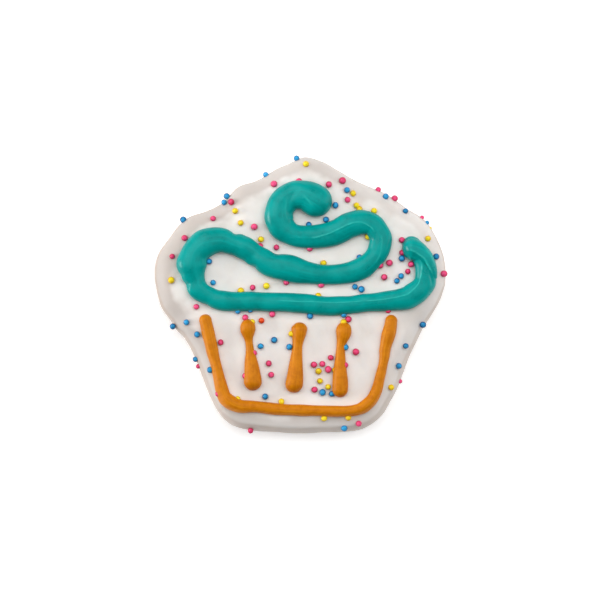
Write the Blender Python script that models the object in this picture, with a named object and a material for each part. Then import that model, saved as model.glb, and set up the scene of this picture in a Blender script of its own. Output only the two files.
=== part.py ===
"""Dog biscuit in the shape of a cupcake, dipped in white yogurt coating and piped with icing.

Metres, +Z up. The origin is on the ground under the middle of the plan. +X is to the cupcake's
right, +Y to the tip of its frosting, and the decorated face looks up.
"""
import functools
import math
import random

import bmesh
import bpy
import numpy as np

MM = 0.001

# Coated biscuit
THICKNESS = 11.0 * MM
SHOULDER_WIDTH = 6.0 * MM
SHOULDER_HEIGHT = 5.5 * MM
CROWN_WIDTH = 15.0 * MM
CROWN_FALL = 0.8 * MM
FOOT_RADIUS = 2.4 * MM
SHOULDER_STEPS = 5
CROWN_STEPS = 2
FOOT_STEPS = 3
RIM_FACETS = 120
TIDY_GAP = 0.3 * MM

# Plan of the cupcake, clockwise from the tip of the frosting, in millimetres
OUTLINE = (
    (1.2, 42.8), (6.6, 41.3), (12.8, 38.1), (19.7, 34.4), (27.0, 30.9), (33.1, 26.8),
    (39.1, 22.6), (43.9, 13.7), (45.2, 6.0), (43.8, -0.6), (37.4, -11.9), (34.1, -18.6),
    (28.8, -31.6), (23.6, -38.9), (15.5, -42.1), (0.0, -42.6), (-15.4, -41.8), (-22.6, -39.0),
    (-27.7, -31.7), (-32.4, -19.2), (-35.7, -13.5), (-38.8, -10.8), (-40.9, -7.4), (-43.3, -2.7),
    (-45.0, 6.5), (-43.2, 14.1), (-36.0, 22.9), (-29.4, 25.8), (-24.1, 28.7), (-19.4, 33.6),
    (-12.3, 36.1), (-5.2, 40.0),
)

# Piped lines: x, y and half the width, in millimetres, from one tip to the other
SWIRL = (
    (8.8, 25.6, 4.7), (4.8, 28.7, 5.0), (0.8, 30.5, 4.6), (-3.5, 29.7, 4.4), (-6.3, 25.9, 4.4),
    (-5.8, 21.2, 4.3), (-2.0, 18.2, 3.4), (3.5, 17.7, 3.6), (9.6, 18.5, 3.8), (15.5, 21.3, 4.0),
    (18.8, 22.2, 3.8), (22.5, 21.3, 3.4), (24.8, 17.5, 3.4), (24.3, 14.0, 3.5), (22.4, 10.9, 3.2),
    (19.2, 8.1, 3.4), (14.0, 6.4, 3.2), (7.7, 6.0, 3.0), (3.1, 6.4, 3.4), (-3.1, 7.9, 4.1),
    (-9.3, 9.3, 3.8), (-12.2, 11.0, 3.5), (-14.2, 12.5, 3.2), (-17.0, 14.1, 3.6),
    (-20.2, 15.4, 3.4), (-24.6, 16.6, 3.8), (-29.2, 15.6, 4.5), (-32.2, 12.6, 4.2),
    (-33.2, 8.4, 4.4), (-32.3, 4.2, 3.1), (-31.0, 1.3, 3.1), (-27.6, -0.6, 2.7),
    (-23.0, -2.1, 3.1), (-10.0, -2.3, 2.9), (0.0, -2.8, 3.0), (9.2, -3.7, 3.0),
    (20.0, -2.7, 2.8), (30.8, -1.6, 3.4), (34.9, -0.1, 3.6), (38.1, 3.1, 3.4), (38.8, 7.5, 3.4),
    (37.1, 11.8, 3.1), (32.4, 17.2, 2.9),
)
SWIRL_TAIL = (
    (31.4, 13.3, 3.4), (34.1, 13.7, 3.6), (36.6, 12.9, 3.0), (38.9, 11.4, 2.2), (40.3, 9.2, 1.5),
    (41.1, 7.2, 1.1), (41.7, 4.6, 0.5),
)
WRAPPER = (
    (-29.5, -6.2, 1.8), (-28.4, -10.9, 2.0), (-27.1, -17.1, 1.9), (-25.5, -23.3, 1.7),
    (-23.7, -30.3, 2.1), (-22.0, -32.7, 2.3), (-18.6, -34.4, 2.1), (-13.9, -34.6, 1.8),
    (-4.6, -35.5, 1.8), (4.6, -35.8, 1.7), (16.0, -35.8, 1.7), (20.8, -33.6, 1.9),
    (23.5, -29.5, 1.7), (25.7, -20.5, 1.5), (26.1, -16.9, 1.7), (26.9, -13.4, 2.1),
    (27.8, -9.7, 2.0), (28.2, -6.3, 1.8),
)
PLEATS = (
    ((-16.3, -7.6, 1.8), (-16.1, -10.9, 2.3), (-15.7, -14.6, 1.1), (-15.1, -20.2, 1.9),
     (-14.6, -26.0, 2.7), (-14.8, -29.6, 2.6)),
    ((-0.2, -8.6, 2.1), (-0.2, -11.0, 2.4), (-0.8, -15.4, 1.6), (-1.1, -20.2, 1.9),
     (-1.7, -26.4, 2.7), (-2.1, -30.3, 2.6)),
    ((13.2, -8.5, 1.7), (13.5, -11.6, 2.35), (12.6, -15.6, 1.4), (12.4, -19.5, 1.6),
     (12.3, -24.0, 2.2), (12.3, -28.0, 2.4), (12.4, -31.7, 2.2)),
)
SWIRL_RISE = 0.95
CARAMEL_RISE = 1.15
SWIRL_SPACING = 1.9 * MM
WRAPPER_SPACING = 2.2 * MM
PLEAT_SPACING = 1.8 * MM
UNDERCUT = math.radians(115.0)
SECTION_STEPS = 9
TIP_ANGLES = (12.0, 32.0, 52.0, 71.0)
SPLINE_STEPS = 12
WELD = 0.01 * MM

# Sugar beads: middle of a patch and its reach in millimetres, and a letter for each bead in it
# that gives its colour: pink, blue, yellow or orange
BEAD_RADIUS = 1.0 * MM
BEAD_SPREAD = 0.1
BEAD_SINK = 0.5 * MM
BEAD_CLEARANCE = 0.4 * MM
BEAD_SPACING = 0.1 * MM
RIM_INSET = 0.15 * MM
SLOPE_STEP = 0.05 * MM
BEAD_SEGMENTS = 6
BEAD_RINGS = 4
BEAD_SEED = 7
BEAD_TRIES = 400
BEAD_DRIFT = 0.01 * MM
BEAD_PATCHES = (
    (-1.5, 42.5, 0.3, "b"), (1.9, 40.0, 0.3, "y"), (-10.4, 36.7, 0.3, "b"), (-8.0, 33.8, 0.3, "p"),
    (-23.0, 31.2, 0.3, "b"), (-22.5, 28.6, 0.3, "b"), (-20.9, 28.2, 0.3, "p"),
    (-19.8, 25.5, 0.3, "y"), (-18.2, 21.7, 0.3, "y"), (-26.4, 23.3, 0.3, "p"),
    (-14.1, 20.6, 0.3, "p"), (-7.1, 14.3, 0.3, "p"), (-35.8, 23.2, 0.3, "b"),
    (-39.5, 11.6, 0.3, "p"), (-39.3, 4.3, 0.3, "y"), (-26.5, 3.4, 0.3, "b"),
    (-14.4, 1.8, 0.3, "p"), (-10.4, 2.3, 0.3, "y"), (9.0, 33.8, 0.3, "p"), (13.1, 34.6, 0.3, "p"),
    (14.4, 31.8, 0.3, "b"), (16.1, 31.1, 0.3, "y"), (14.6, 28.9, 0.3, "p"), (17.3, 27.1, 0.3, "y"),
    (23.9, 32.2, 0.3, "p"), (26.0, 30.2, 0.3, "b"), (28.8, 29.7, 0.3, "p"), (32.5, 25.6, 0.3, "b"),
    (43.9, 6.2, 0.3, "p"), (27.3, 9.6, 0.3, "p"), (25.9, 5.3, 0.3, "p"), (32.9, 6.9, 0.3, "p"),
    (31.1, 5.9, 0.3, "b"), (30.4, 4.3, 0.3, "b"), (16.7, 2.4, 0.3, "b"), (19.1, 1.7, 0.3, "b"),
    (-31.9, -3.7, 0.3, "p"), (-39.1, -9.4, 0.4, "b"), (-34.9, -8.8, 0.3, "b"),
    (-24.3, -14.5, 0.3, "p"), (-31.7, -19.6, 0.3, "b"), (-11.9, -8.0, 0.3, "o"),
    (-7.7, -14.0, 0.3, "b"), (-11.9, -16.1, 0.3, "b"), (-9.5, -21.1, 0.3, "p"),
    (-9.1, -24.8, 0.3, "p"), (-10.7, -31.7, 0.3, "b"), (4.4, -21.7, 0.3, "p"),
    (6.8, -21.5, 0.3, "p"), (9.8, -20.1, 0.3, "p"), (9.2, -23.1, 0.3, "p"), (5.5, -23.7, 0.3, "y"),
    (6.1, -26.5, 0.3, "y"), (4.6, -29.3, 0.3, "p"), (6.7, -30.3, 0.3, "b"), (8.5, -29.2, 0.3, "y"),
    (17.3, -17.7, 0.3, "p"), (37.6, -9.3, 0.3, "b"), (32.3, -15.5, 0.3, "b"),
    (30.4, -21.9, 0.3, "b"), (27.7, -28.4, 0.3, "y"), (13.4, -40.6, 0.3, "b"),
    (18.0, -39.7, 0.3, "p"), (-15.2, -41.4, 0.3, "p"),
)

# Finish of each material, and the angle in degrees past which an edge stays sharp
WHITE = (0.78, 0.74, 0.71)
WHITE_ROUGHNESS = 0.45
TEAL = (0.0, 0.33, 0.30)
TEAL_ROUGHNESS = 0.35
CARAMEL = (0.60, 0.21, 0.02)
CARAMEL_ROUGHNESS = 0.45
COAT_CREASE = 35.0
ICING_CREASE = 50.0


def clear_scene():
    for item in list(bpy.data.objects):
        bpy.data.objects.remove(item, do_unlink=True)


def new_collection(name):
    collection = bpy.data.collections.new(name)
    bpy.context.scene.collection.children.link(collection)
    return collection


def icing_material(name, colour, roughness):
    material = bpy.data.materials.new(name)
    material.use_nodes = True
    surface = material.node_tree.nodes["Principled BSDF"]
    surface.inputs["Base Color"].default_value = (*colour, 1.0)
    surface.inputs["Roughness"].default_value = roughness
    surface.inputs["Metallic"].default_value = 0.0
    return material


def spline_through(points, closed=False):
    """Rows along the Catmull-Rom curve through the given rows, which may hold a width as well."""
    rows = np.array(points, dtype=float) * MM
    if closed:
        rows = np.vstack((rows[-1:], rows, rows[:2]))
    else:
        rows = np.vstack((2 * rows[0] - rows[1], rows, 2 * rows[-1] - rows[-2]))
    before, start, end, after = (rows[i:len(rows) - 3 + i, None] for i in range(4))
    t = np.linspace(0.0, 1.0, SPLINE_STEPS, endpoint=False)[None, :, None]
    bend = 2 * before - 5 * start + 4 * end - after
    twist = 3 * (start - end) + after - before
    curve = start + 0.5 * t * (end - before + t * (bend + t * twist))
    curve = curve.reshape(-1, rows.shape[1])
    return curve if closed else np.vstack((curve, rows[-2]))


@functools.lru_cache(maxsize=None)
def rim_curve():
    """Directions and distances of the outline from the middle of the plan, sorted by direction."""
    rim = spline_through(OUTLINE, closed=True)
    directions = np.arctan2(rim[:, 1], rim[:, 0])
    order = np.argsort(directions)
    return directions[order], np.hypot(rim[:, 0], rim[:, 1])[order]


def rim_radius(angles):
    directions, distances = rim_curve()
    return np.interp(angles, directions, distances, period=2 * math.pi)


def rim_inset(x, y):
    """How far inside the outline a place is, measured towards the middle of the plan."""
    return rim_radius(np.arctan2(y, x)) - np.hypot(x, y)


def coat_fall(inset):
    """How far the coating lies below its flat middle: a shallow crown and a quarter ellipse."""
    crown = np.clip(1 - inset / CROWN_WIDTH, 0.0, 1.0)
    edge = np.clip(1 - inset / SHOULDER_WIDTH, 0.0, 1.0)
    return CROWN_FALL * crown ** 2 + SHOULDER_HEIGHT * (1 - np.sqrt(1 - edge ** 2))


def coat_section():
    """Inset from the outline and height of each ring, from the underside up to the flat middle."""
    turns = np.linspace(0.0, 0.5 * math.pi, FOOT_STEPS + 1)
    foot = np.stack((FOOT_RADIUS * (1 - np.sin(turns)), FOOT_RADIUS * (1 - np.cos(turns))), axis=1)
    turns = np.linspace(0.0, 0.5 * math.pi, SHOULDER_STEPS + 1)
    crown = np.linspace(SHOULDER_WIDTH, CROWN_WIDTH, CROWN_STEPS + 1)[1:]
    insets = np.concatenate((SHOULDER_WIDTH * (1 - np.cos(turns)), crown))
    top = np.stack((insets, THICKNESS - coat_fall(insets)), axis=1)
    return np.vstack((foot, top)).tolist()


def coated_biscuit(material, collection):
    """A loft of rings, each the outline drawn in towards the middle by its inset."""
    angles = np.arange(RIM_FACETS) * 2 * math.pi / RIM_FACETS
    outline = rim_radius(angles)
    rings = []
    for inset, height in coat_section():
        reach = outline - inset
        level = np.full(RIM_FACETS, height)
        rings.append(np.stack((reach * np.cos(angles), reach * np.sin(angles), level), axis=1))
    faces = [tuple(reversed(range(RIM_FACETS)))]
    for ring in range(len(rings) - 1):
        low, high = ring * RIM_FACETS, (ring + 1) * RIM_FACETS
        for i in range(RIM_FACETS):
            j = (i + 1) % RIM_FACETS
            faces.append((low + i, low + j, high + j, high + i))
    top = (len(rings) - 1) * RIM_FACETS
    faces.append(tuple(range(top, top + RIM_FACETS)))
    mesh = bpy.data.meshes.new("coated_biscuit")
    mesh.from_pydata(np.vstack(rings).tolist(), [], faces)
    mesh.materials.append(material)
    biscuit = bpy.data.objects.new("coated_biscuit", mesh)
    collection.objects.link(biscuit)
    return biscuit


def piped_stations(route, spacing):
    """Rows of x, y and half-width along a line, whose tips close as quarter circles."""
    path = spline_through(route)
    steps = np.hypot(*np.diff(path[:, :2], axis=0).T)
    along = np.concatenate(([0.0], np.cumsum(steps)))
    length, first, last = along[-1], path[0, 2], path[-1, 2]
    tip = 1 - np.cos(np.radians(TIP_ANGLES))
    count = max(2, round((length - first - last) / spacing) + 1)
    body = np.linspace(first, length - last, count)
    places = np.concatenate((first * tip, body, length - last * tip[::-1]))
    rows = np.stack([np.interp(places, along, column) for column in path.T], axis=1)
    into_tip = np.minimum(np.minimum(places / first, (length - places) / last), 1.0)
    rows[:, 2] *= np.sqrt(1 - (1 - into_tip) ** 2)
    return rows


def section_guide(name, rise, guides):
    """Cross-section of a piped line, one unit to each side: an arch drawn in under its flanks."""
    turns = np.linspace(-UNDERCUT, UNDERCUT, SECTION_STEPS)
    heights = rise * (np.cos(turns) - math.cos(UNDERCUT)) / (1 - math.cos(UNDERCUT))
    arch = np.stack((np.sin(turns), heights), axis=1).tolist()
    curve = bpy.data.curves.new(name, "CURVE")
    line = curve.splines.new("POLY")
    line.points.add(SECTION_STEPS)
    for point, (x, y) in zip(line.points, arch + [(0.0, 0.0)]):
        point.co = (x, y, 0.0, 1.0)
    line.use_cyclic_u = True
    guide = bpy.data.objects.new(name, curve)
    guide.hide_render = True
    guide.display_type = "WIRE"
    guides.objects.link(guide)
    return guide


def piped_line(name, route, spacing, section, material, collection):
    """A curve swept with the section, made a mesh and let down onto the rounded coating."""
    rows = piped_stations(route, spacing)
    curve = bpy.data.curves.new(name, "CURVE")
    curve.dimensions = "3D"
    curve.twist_mode = "Z_UP"
    curve.bevel_mode = "OBJECT"
    curve.bevel_object = section
    curve.use_fill_caps = True
    line = curve.splines.new("POLY")
    line.points.add(len(rows) - 1)
    for point, (x, y, half_width) in zip(line.points, rows.tolist()):
        point.co = (x, y, THICKNESS + TIDY_GAP, 1.0)
        point.radius = half_width
    sweep = bpy.data.objects.new(name + "_sweep", curve)
    collection.objects.link(sweep)
    bpy.context.view_layer.update()
    evaluated = sweep.evaluated_get(bpy.context.evaluated_depsgraph_get())
    mesh = bpy.data.meshes.new_from_object(evaluated)
    bpy.data.objects.remove(sweep, do_unlink=True)
    mesh.materials.clear()
    mesh.materials.append(material)
    piece = bmesh.new()
    piece.from_mesh(mesh)
    bmesh.ops.remove_doubles(piece, verts=piece.verts, dist=WELD)
    bmesh.ops.recalc_face_normals(piece, faces=piece.faces)
    for vertex in piece.verts:
        vertex.co.z -= float(coat_fall(rim_inset(vertex.co.x, vertex.co.y)))
    piece.to_mesh(mesh)
    piece.free()
    result = bpy.data.objects.new(name, mesh)
    collection.objects.link(result)
    return result


def bead_places(lines):
    """Place, radius and colour of each bead, drawn at random round its patch until it has room.

    A bead keeps clear of the piped lines, of the outline and of the beads before it, and each try
    may go a little further out than the last.
    """
    draw = random.Random(BEAD_SEED)
    stations = np.vstack(lines)
    places = []
    for patch_x, patch_y, reach, colours in BEAD_PATCHES:
        for colour in colours:
            for tries in range(BEAD_TRIES):
                radius = BEAD_RADIUS * (1 + draw.uniform(-BEAD_SPREAD, BEAD_SPREAD))
                angle = draw.uniform(0, 2 * math.pi)
                out = (reach * MM + tries * BEAD_DRIFT) * math.sqrt(draw.random())
                x = patch_x * MM + out * math.cos(angle)
                y = patch_y * MM + out * math.sin(angle)
                room = np.hypot(stations[:, 0] - x, stations[:, 1] - y) - stations[:, 2]
                if rim_inset(x, y) < RIM_INSET or room.min() < radius + BEAD_CLEARANCE:
                    continue
                if all(math.hypot(x - other[0], y - other[1]) > radius + other[2] + BEAD_SPACING
                       for other in places):
                    places.append((x, y, radius, colour))
                    break
    return places


def bead_seat(x, y, radius):
    """Middle of a bead that is sunk square into the coating, as deep on its rim as on its top."""
    inset = float(rim_inset(x, y))
    fall, inner_fall = coat_fall(np.array((inset, inset + SLOPE_STEP))).tolist()
    slope = (fall - inner_fall) / SLOPE_STEP
    upright = 1 / math.hypot(1, slope)
    lift = radius - BEAD_SINK
    out = 1 + lift * slope * upright / math.hypot(x, y)
    return x * out, y * out, THICKNESS - fall + lift * upright


def fuse_beads(biscuit, lines, material):
    """One union with a collection of small spheres, applied before the spheres are removed."""
    beads = new_collection("sugar_beads")
    ball = bmesh.new()
    bmesh.ops.create_uvsphere(ball, u_segments=BEAD_SEGMENTS, v_segments=BEAD_RINGS, radius=1.0)
    mesh = bpy.data.meshes.new("sugar_bead")
    ball.to_mesh(mesh)
    ball.free()
    mesh.materials.append(material)
    turn = random.Random(BEAD_SEED)
    for x, y, radius, _ in bead_places(lines):
        bead = bpy.data.objects.new("sugar_bead", mesh)
        bead.location = bead_seat(x, y, radius)
        bead.scale = (radius, radius, radius)
        bead.rotation_euler.z = turn.uniform(0, math.pi)
        beads.objects.link(bead)
    union = biscuit.modifiers.new("Beads", "BOOLEAN")
    union.operation = "UNION"
    union.operand_type = "COLLECTION"
    union.collection = beads
    union.solver = "EXACT"
    apply_modifiers(biscuit, material)
    for bead in list(beads.objects):
        bpy.data.objects.remove(bead, do_unlink=True)
    bpy.data.collections.remove(beads)


def apply_modifiers(piece, material):
    bpy.context.view_layer.update()
    evaluated = piece.evaluated_get(bpy.context.evaluated_depsgraph_get())
    mesh = bpy.data.meshes.new_from_object(evaluated)
    piece.modifiers.clear()
    mesh.materials.clear()
    mesh.materials.append(material)
    piece.data = mesh


def join_strands(main, strand, material):
    union = main.modifiers.new("Tail", "BOOLEAN")
    union.operation = "UNION"
    union.object = strand
    union.solver = "EXACT"
    union.use_self = True
    apply_modifiers(main, material)
    bpy.data.objects.remove(strand, do_unlink=True)


def shade(piece, sharp_angle):
    piece.data.shade_smooth()
    piece.data.set_sharp_from_angle(angle=math.radians(sharp_angle))


def build():
    clear_scene()
    biscuit_parts = new_collection("dog_biscuit")
    guides = new_collection("guides")
    coating = icing_material("white yogurt coating", WHITE, WHITE_ROUGHNESS)
    teal = icing_material("teal icing", TEAL, TEAL_ROUGHNESS)
    caramel = icing_material("peanut butter icing", CARAMEL, CARAMEL_ROUGHNESS)
    swirl_section = section_guide("swirl_section", SWIRL_RISE, guides)
    caramel_section = section_guide("caramel_section", CARAMEL_RISE, guides)

    swirl = piped_line("icing_swirl", SWIRL, SWIRL_SPACING, swirl_section, teal, biscuit_parts)
    tail = piped_line("swirl_tail", SWIRL_TAIL, SWIRL_SPACING, swirl_section, teal, biscuit_parts)
    join_strands(swirl, tail, teal)
    shade(swirl, ICING_CREASE)
    shade(piped_line("wrapper_outline", WRAPPER, WRAPPER_SPACING, caramel_section, caramel,
                     biscuit_parts), ICING_CREASE)
    for number, route in enumerate(PLEATS, start=1):
        shade(piped_line(f"pleat_{number}", route, PLEAT_SPACING, caramel_section, caramel,
                         biscuit_parts), ICING_CREASE)

    lines = [piped_stations(SWIRL, SWIRL_SPACING), piped_stations(SWIRL_TAIL, SWIRL_SPACING),
             piped_stations(WRAPPER, WRAPPER_SPACING)]
    lines += [piped_stations(route, PLEAT_SPACING) for route in PLEATS]
    biscuit = coated_biscuit(coating, biscuit_parts)
    fuse_beads(biscuit, lines, coating)
    shade(biscuit, COAT_CREASE)


build()
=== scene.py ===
"""Looks of a dog biscuit in the shape of a cupcake: yogurt coating, piped icing and sugar beads.

The coating and every piped line are surfaces worked out on a grid of rings, and the beads of one
colour are one mesh. Sizes are in metres, +Z is up and +Y is towards the tip of the frosting.
"""
import functools
import math
import random

import bpy
import numpy as np
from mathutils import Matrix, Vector


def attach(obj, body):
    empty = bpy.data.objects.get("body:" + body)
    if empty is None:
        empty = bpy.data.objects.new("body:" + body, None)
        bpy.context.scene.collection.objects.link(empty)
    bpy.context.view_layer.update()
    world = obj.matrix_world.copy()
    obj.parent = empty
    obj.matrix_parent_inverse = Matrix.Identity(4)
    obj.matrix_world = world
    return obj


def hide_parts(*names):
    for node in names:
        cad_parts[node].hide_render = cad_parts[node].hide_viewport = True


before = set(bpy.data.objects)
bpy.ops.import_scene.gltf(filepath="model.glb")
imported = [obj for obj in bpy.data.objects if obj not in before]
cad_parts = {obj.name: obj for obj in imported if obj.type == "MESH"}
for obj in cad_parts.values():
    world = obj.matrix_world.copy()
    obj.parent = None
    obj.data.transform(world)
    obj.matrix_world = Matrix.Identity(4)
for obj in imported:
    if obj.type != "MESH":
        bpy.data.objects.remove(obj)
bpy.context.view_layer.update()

MM = 0.001
FULL_TURN = 2 * math.pi
QUARTER_TURN = 0.5 * math.pi

# Section of the coated biscuit
THICKNESS = 11.0 * MM
SHOULDER_WIDTH = 6.0 * MM
SHOULDER_HEIGHT = 5.5 * MM
CROWN_WIDTH = 15.0 * MM
CROWN_FALL = 0.8 * MM
FOOT_RADIUS = 2.4 * MM
TIDY_GAP = 0.3 * MM

# Plan of the cupcake, clockwise from the tip of the frosting, in millimetres
OUTLINE = (
    (1.2, 42.8), (6.6, 41.3), (12.8, 38.1), (19.7, 34.4), (27.0, 30.9), (33.1, 26.8),
    (39.1, 22.6), (43.9, 13.7), (45.2, 6.0), (43.8, -0.6), (37.4, -11.9), (34.1, -18.6),
    (28.8, -31.6), (23.6, -38.9), (15.5, -42.1), (0.0, -42.6), (-15.4, -41.8), (-22.6, -39.0),
    (-27.7, -31.7), (-32.4, -19.2), (-35.7, -13.5), (-38.8, -10.8), (-40.9, -7.4), (-43.3, -2.7),
    (-45.0, 6.5), (-43.2, 14.1), (-36.0, 22.9), (-29.4, 25.8), (-24.1, 28.7), (-19.4, 33.6),
    (-12.3, 36.1), (-5.2, 40.0),
)
SPLINE_STEPS = 12

# Piped lines: x, y and half the width, in millimetres, from one tip to the other
SWIRL = (
    (8.8, 25.6, 4.7), (4.8, 28.7, 5.0), (0.8, 30.5, 4.6), (-3.5, 29.7, 4.4), (-6.3, 25.9, 4.4),
    (-5.8, 21.2, 4.3), (-2.0, 18.2, 3.4), (3.5, 17.7, 3.6), (9.6, 18.5, 3.8), (15.5, 21.3, 4.0),
    (18.8, 22.2, 3.8), (22.5, 21.3, 3.4), (24.8, 17.5, 3.4), (24.3, 14.0, 3.5), (22.4, 10.9, 3.2),
    (19.2, 8.1, 3.4), (14.0, 6.4, 3.2), (7.7, 6.0, 3.0), (3.1, 6.4, 3.4), (-3.1, 7.9, 4.1),
    (-9.3, 9.3, 3.8), (-12.2, 11.0, 3.5), (-14.2, 12.5, 3.2), (-17.0, 14.1, 3.6),
    (-20.2, 15.4, 3.4), (-24.6, 16.6, 3.8), (-29.2, 15.6, 4.5), (-32.2, 12.6, 4.2),
    (-33.2, 8.4, 4.4), (-32.3, 4.2, 3.1), (-31.0, 1.3, 3.1), (-27.6, -0.6, 2.7),
    (-23.0, -2.1, 3.1), (-10.0, -2.3, 2.9), (0.0, -2.8, 3.0), (9.2, -3.7, 3.0),
    (20.0, -2.7, 2.8), (30.8, -1.6, 3.4), (34.9, -0.1, 3.6), (38.1, 3.1, 3.4), (38.8, 7.5, 3.4),
    (37.1, 11.8, 3.1), (32.4, 17.2, 2.9),
)
SWIRL_TAIL = (
    (31.4, 13.3, 3.4), (34.1, 13.7, 3.6), (36.6, 12.9, 3.0), (38.9, 11.4, 2.2), (40.3, 9.2, 1.5),
    (41.1, 7.2, 1.1), (41.7, 4.6, 0.5),
)
WRAPPER = (
    (-29.5, -6.2, 1.8), (-28.4, -10.9, 2.0), (-27.1, -17.1, 1.9), (-25.5, -23.3, 1.7),
    (-23.7, -30.3, 2.1), (-22.0, -32.7, 2.3), (-18.6, -34.4, 2.1), (-13.9, -34.6, 1.8),
    (-4.6, -35.5, 1.8), (4.6, -35.8, 1.7), (16.0, -35.8, 1.7), (20.8, -33.6, 1.9),
    (23.5, -29.5, 1.7), (25.7, -20.5, 1.5), (26.1, -16.9, 1.7), (26.9, -13.4, 2.1),
    (27.8, -9.7, 2.0), (28.2, -6.3, 1.8),
)
PLEATS = (
    ((-16.3, -7.6, 1.8), (-16.1, -10.9, 2.3), (-15.7, -14.6, 1.1), (-15.1, -20.2, 1.9),
     (-14.6, -26.0, 2.7), (-14.8, -29.6, 2.6)),
    ((-0.2, -8.6, 2.1), (-0.2, -11.0, 2.4), (-0.8, -15.4, 1.6), (-1.1, -20.2, 1.9),
     (-1.7, -26.4, 2.7), (-2.1, -30.3, 2.6)),
    ((13.2, -8.5, 1.7), (13.5, -11.6, 2.35), (12.6, -15.6, 1.4), (12.4, -19.5, 1.6),
     (12.3, -24.0, 2.2), (12.3, -28.0, 2.4), (12.4, -31.7, 2.2)),
)

# Height of a line as a share of half its width, and the angle from its crest to its foot
SWIRL_RISE = 0.95
CARAMEL_RISE = 1.15
UNDERCUT = math.radians(115.0)

# Stations of the piped lines that the beads keep clear of: steps along a line and into its tips
SWIRL_SPACING = 1.9 * MM
WRAPPER_SPACING = 2.2 * MM
PLEAT_SPACING = 1.8 * MM
TIP_ANGLES = np.radians((12.0, 32.0, 52.0, 71.0))

# Sugar beads: middle of a patch and its reach in millimetres, and a letter for each bead in it
# that gives its colour: pink, blue, yellow or orange
BEAD_RADIUS = 1.0 * MM
BEAD_SPREAD = 0.1
BEAD_SINK = 0.5 * MM
BEAD_CLEARANCE = 0.4 * MM
BEAD_SPACING = 0.1 * MM
RIM_INSET = 0.15 * MM
SLOPE_STEP = 0.05 * MM
BEAD_SEED = 7
BEAD_TRIES = 400
BEAD_DRIFT = 0.01 * MM
BEAD_PATCHES = (
    (-1.5, 42.5, 0.3, "b"), (1.9, 40.0, 0.3, "y"), (-10.4, 36.7, 0.3, "b"), (-8.0, 33.8, 0.3, "p"),
    (-23.0, 31.2, 0.3, "b"), (-22.5, 28.6, 0.3, "b"), (-20.9, 28.2, 0.3, "p"),
    (-19.8, 25.5, 0.3, "y"), (-18.2, 21.7, 0.3, "y"), (-26.4, 23.3, 0.3, "p"),
    (-14.1, 20.6, 0.3, "p"), (-7.1, 14.3, 0.3, "p"), (-35.8, 23.2, 0.3, "b"),
    (-39.5, 11.6, 0.3, "p"), (-39.3, 4.3, 0.3, "y"), (-26.5, 3.4, 0.3, "b"),
    (-14.4, 1.8, 0.3, "p"), (-10.4, 2.3, 0.3, "y"), (9.0, 33.8, 0.3, "p"), (13.1, 34.6, 0.3, "p"),
    (14.4, 31.8, 0.3, "b"), (16.1, 31.1, 0.3, "y"), (14.6, 28.9, 0.3, "p"), (17.3, 27.1, 0.3, "y"),
    (23.9, 32.2, 0.3, "p"), (26.0, 30.2, 0.3, "b"), (28.8, 29.7, 0.3, "p"), (32.5, 25.6, 0.3, "b"),
    (43.9, 6.2, 0.3, "p"), (27.3, 9.6, 0.3, "p"), (25.9, 5.3, 0.3, "p"), (32.9, 6.9, 0.3, "p"),
    (31.1, 5.9, 0.3, "b"), (30.4, 4.3, 0.3, "b"), (16.7, 2.4, 0.3, "b"), (19.1, 1.7, 0.3, "b"),
    (-31.9, -3.7, 0.3, "p"), (-39.1, -9.4, 0.4, "b"), (-34.9, -8.8, 0.3, "b"),
    (-24.3, -14.5, 0.3, "p"), (-31.7, -19.6, 0.3, "b"), (-11.9, -8.0, 0.3, "o"),
    (-7.7, -14.0, 0.3, "b"), (-11.9, -16.1, 0.3, "b"), (-9.5, -21.1, 0.3, "p"),
    (-9.1, -24.8, 0.3, "p"), (-10.7, -31.7, 0.3, "b"), (4.4, -21.7, 0.3, "p"),
    (6.8, -21.5, 0.3, "p"), (9.8, -20.1, 0.3, "p"), (9.2, -23.1, 0.3, "p"), (5.5, -23.7, 0.3, "y"),
    (6.1, -26.5, 0.3, "y"), (4.6, -29.3, 0.3, "p"), (6.7, -30.3, 0.3, "b"), (8.5, -29.2, 0.3, "y"),
    (17.3, -17.7, 0.3, "p"), (37.6, -9.3, 0.3, "b"), (32.3, -15.5, 0.3, "b"),
    (30.4, -21.9, 0.3, "b"), (27.7, -28.4, 0.3, "y"), (13.4, -40.6, 0.3, "b"),
    (18.0, -39.7, 0.3, "p"), (-15.2, -41.4, 0.3, "p"),
)

# Beads that the piped lines half cover, in millimetres, by the letter of their colour
TUCKED_BEADS = {
    "p": ((-35.4, 17.3), (-0.3, 34.8), (3.0, 14.1), (-4.2, 3.7), (6.5, 2.9), (24.7, 8.9),
          (31.3, 16.7), (31.4, 12.8), (34.1, 9.2), (-16.8, -7.2), (-14.1, -18.1), (-16.8, -25.1),
          (27.1, -4.9), (13.9, -21.8), (14.9, -7.7), (-12.3, 14.8), (8.0, -36.4), (-25.0, -30.4),
          (-8.5, -6.1)),
    "b": ((2.7, 21.4), (8.0, 23.0), (18.3, 11.3), (-19.1, -5.1), (-15.3, -4.8), (-3.3, -16.2),
          (-27.5, -23.1), (13.4, -6.3), (14.0, -16.3), (10.9, 27.4), (41.7, 11.6), (3.1, -6.7),
          (9.8, -30.6), (-28.0, 10.1), (-31.5, -12.3), (31.3, 11.0)),
    "y": ((-18.2, 1.1), (20.9, 17.7), (18.3, 26.2), (7.2, 9.6), (5.6, -0.5), (-14.7, -8.6),
          (-2.6, -12.2), (-19.2, -32.2), (13.4, -8.6), (10.8, -23.3), (7.4, -38.0), (-5.7, -33.0),
          (-12.0, 16.9), (22.8, 25.7), (39.2, 17.1), (14.8, -37.8)),
}

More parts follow.
